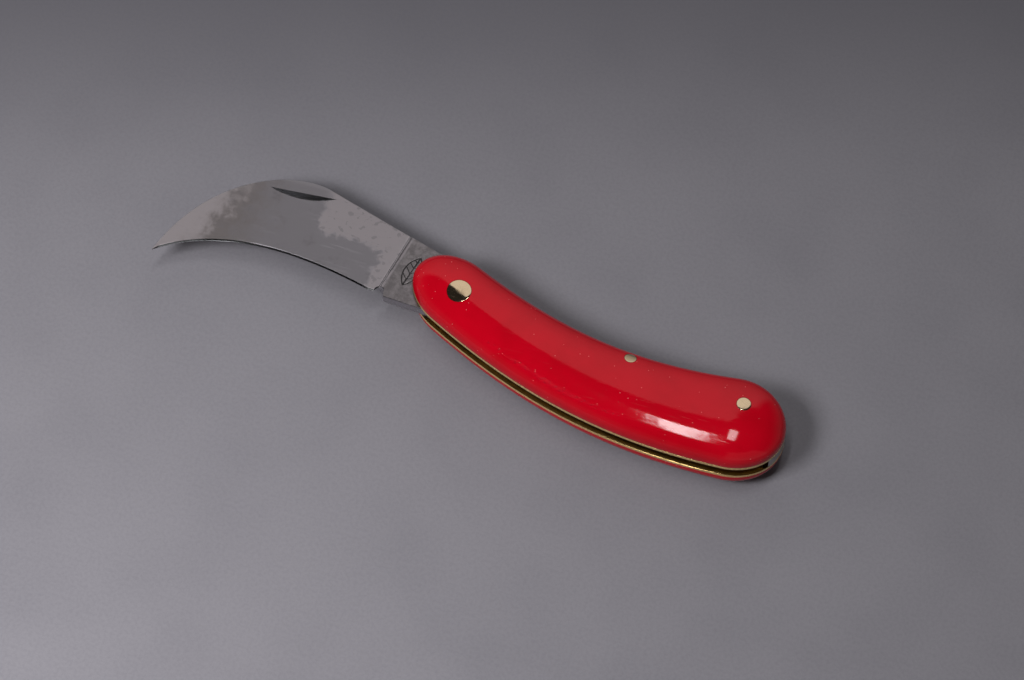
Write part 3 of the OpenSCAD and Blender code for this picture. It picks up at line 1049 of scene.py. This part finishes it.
def makeWorld():
    world = bpy.data.worlds.new("studio")
    bpy.context.scene.world = world
    world.use_nodes = True
    world.node_tree.nodes.clear()
    sheet = NodeSheet(world.node_tree)
    x, y, z = sheet.parts(sheet.add("ShaderNodeTexCoord").outputs["Generated"])
    rightward = sheet.math("MAXIMUM", sheet.math("SUBTRACT", x, studio["bendRightOf"]), 0.0)
    leftward = sheet.math("MAXIMUM", sheet.math("SUBTRACT", studio["bendLeftOf"], x), 0.0)
    ratio = sheet.math("MULTIPLY_ADD", sheet.math("ADD", rightward, leftward), studio["wallBend"],
                       studio["wallRatio"])
    behind = sheet.math("SUBTRACT", y, sheet.math("MULTIPLY", z, ratio))
    # The wall's top edge blurs away to the left
    blur = sheet.math("MULTIPLY_ADD", leftward, studio["blurGrowth"], studio["wallBlur"])
    rightEnd = sheet.step(sheet.math("MULTIPLY_ADD", y, -0.40, x), *studio["wallRightEnd"])
    wall = sheet.math("MULTIPLY", sheet.step(behind, sheet.math("MULTIPLY", blur, -1.0), blur), rightEnd)
    low = sheet.math("MULTIPLY_ADD", sheet.step(z, *studio["lowSpan"]), studio["lowFront"], studio["dark"])
    # A card in front on the right, for the metal seen from behind
    alongX, alongY, alongZ = studio["cardSpans"]
    card = sheet.math("MULTIPLY", sheet.step(x, *alongX), sheet.step(y, *alongY))
    card = sheet.math("MULTIPLY", card, sheet.step(z, *alongZ))
    sideX, sideZ = studio["sideSpans"]
    side = sheet.math("MULTIPLY", sheet.step(x, *sideX), sheet.step(z, *sideZ))
    card = sheet.math("MAXIMUM", card, sheet.math("MULTIPLY", side, studio["sideShare"]))
    low = sheet.math("MULTIPLY_ADD", card, studio["card"], low)
    shade = sheet.math("MULTIPLY_ADD", sheet.step(z, 0.0, 0.85), studio["wallHigh"] - studio["wallLow"],
                       studio["wallLow"])
    level = sheet.math("MULTIPLY_ADD", wall, sheet.math("SUBTRACT", shade, low), low)
    back = sheet.add("ShaderNodeBackground", None, {"Color": (1, 0.985, 0.97), "Strength": level})
    out = sheet.add("ShaderNodeOutputWorld")
    sheet.tree.links.new(back.outputs[0], out.inputs["Surface"])


makeWorld()

lightSet = {
    "window": {"place": (-0.0985, -0.225, 1.5), "aim": (-0.0985, -0.225, 0), "size": (0.093, 0.65),
               "power": 4.2},
    "pane": {"place": (0.125, 0.24, 1.5), "aim": (0.125, 0.24, 0), "size": (0.20, 0.44), "power": 3.0},
    "key": {"place": (-0.22, -0.34, 0.50), "aim": (-0.10, -0.23, 0), "size": (0.20, 0.20), "power": 1.5,
            "spread": 92},
}


def addLight(name, look, shows):
    data = bpy.data.lights.new(name, "AREA")
    data.shape = "RECTANGLE"
    data.size, data.size_y = look["size"]
    data.energy = look["power"]
    data.spread = math.radians(look.get("spread", 180))
    light = bpy.data.objects.new(name, data)
    bpy.context.scene.collection.objects.link(light)
    light.location = look["place"]
    light.visible_glossy = shows
    towards = Vector(look["aim"]) - Vector(look["place"])
    if abs(towards.x) + abs(towards.y) > 1e-6:
        light.rotation_euler = towards.to_track_quat("-Z", "Y").to_euler()


addLight("window", lightSet["window"], True)
addLight("pane", lightSet["pane"], True)
addLight("key", lightSet["key"], False)

cameraSet = {
    "azimuth": 18.7,
    "elevation": 60.8,
    "target": (0.0159, -0.0048, 0.009),
    "distance": 1.0,
    "lens": 137.1,
}


def makeCamera():
    turn = math.radians(cameraSet["azimuth"])
    rise = math.radians(cameraSet["elevation"])
    back = Vector((math.sin(turn) * math.cos(rise), -math.cos(turn) * math.cos(rise), math.sin(rise)))
    data = bpy.data.cameras.new("camera")
    data.lens = cameraSet["lens"]
    data.sensor_width = 36
    camera = bpy.data.objects.new("camera", data)
    bpy.context.scene.collection.objects.link(camera)
    camera.location = Vector(cameraSet["target"]) + back * cameraSet["distance"]
    camera.rotation_mode = "QUATERNION"
    camera.rotation_quaternion = (-back).to_track_quat("-Z", "Y")
    bpy.context.scene.camera = camera


makeCamera()
bpy.context.scene.view_settings.view_transform = "Standard"
